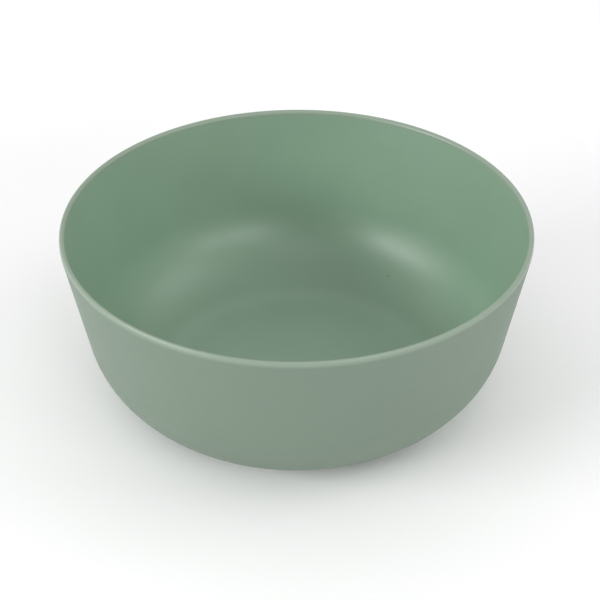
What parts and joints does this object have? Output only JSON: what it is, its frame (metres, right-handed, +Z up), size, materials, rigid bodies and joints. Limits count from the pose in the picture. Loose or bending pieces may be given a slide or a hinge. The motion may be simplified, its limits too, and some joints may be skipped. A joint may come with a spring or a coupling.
{
  "type": "mixing bowl",
  "caption": "Round mixing bowl moulded in one piece, with a leaning wall, a soft rounded lip, a wide rolled corner, a flat floor and a low foot ring.",
  "frame": {"origin": "centre of the plane that the foot ring stands on, on the bowl's axis", "axes": "+Z up along the bowl's axis of revolution; +X and +Y are level, and the round bowl looks the same from every side"},
  "size_m": [0.24, 0.24, 0.099],
  "materials": {
    "melamine": "satin"
  },
  "bodies": {
    "root": {"bowl": "melamine"}
  },
  "joints": []
}
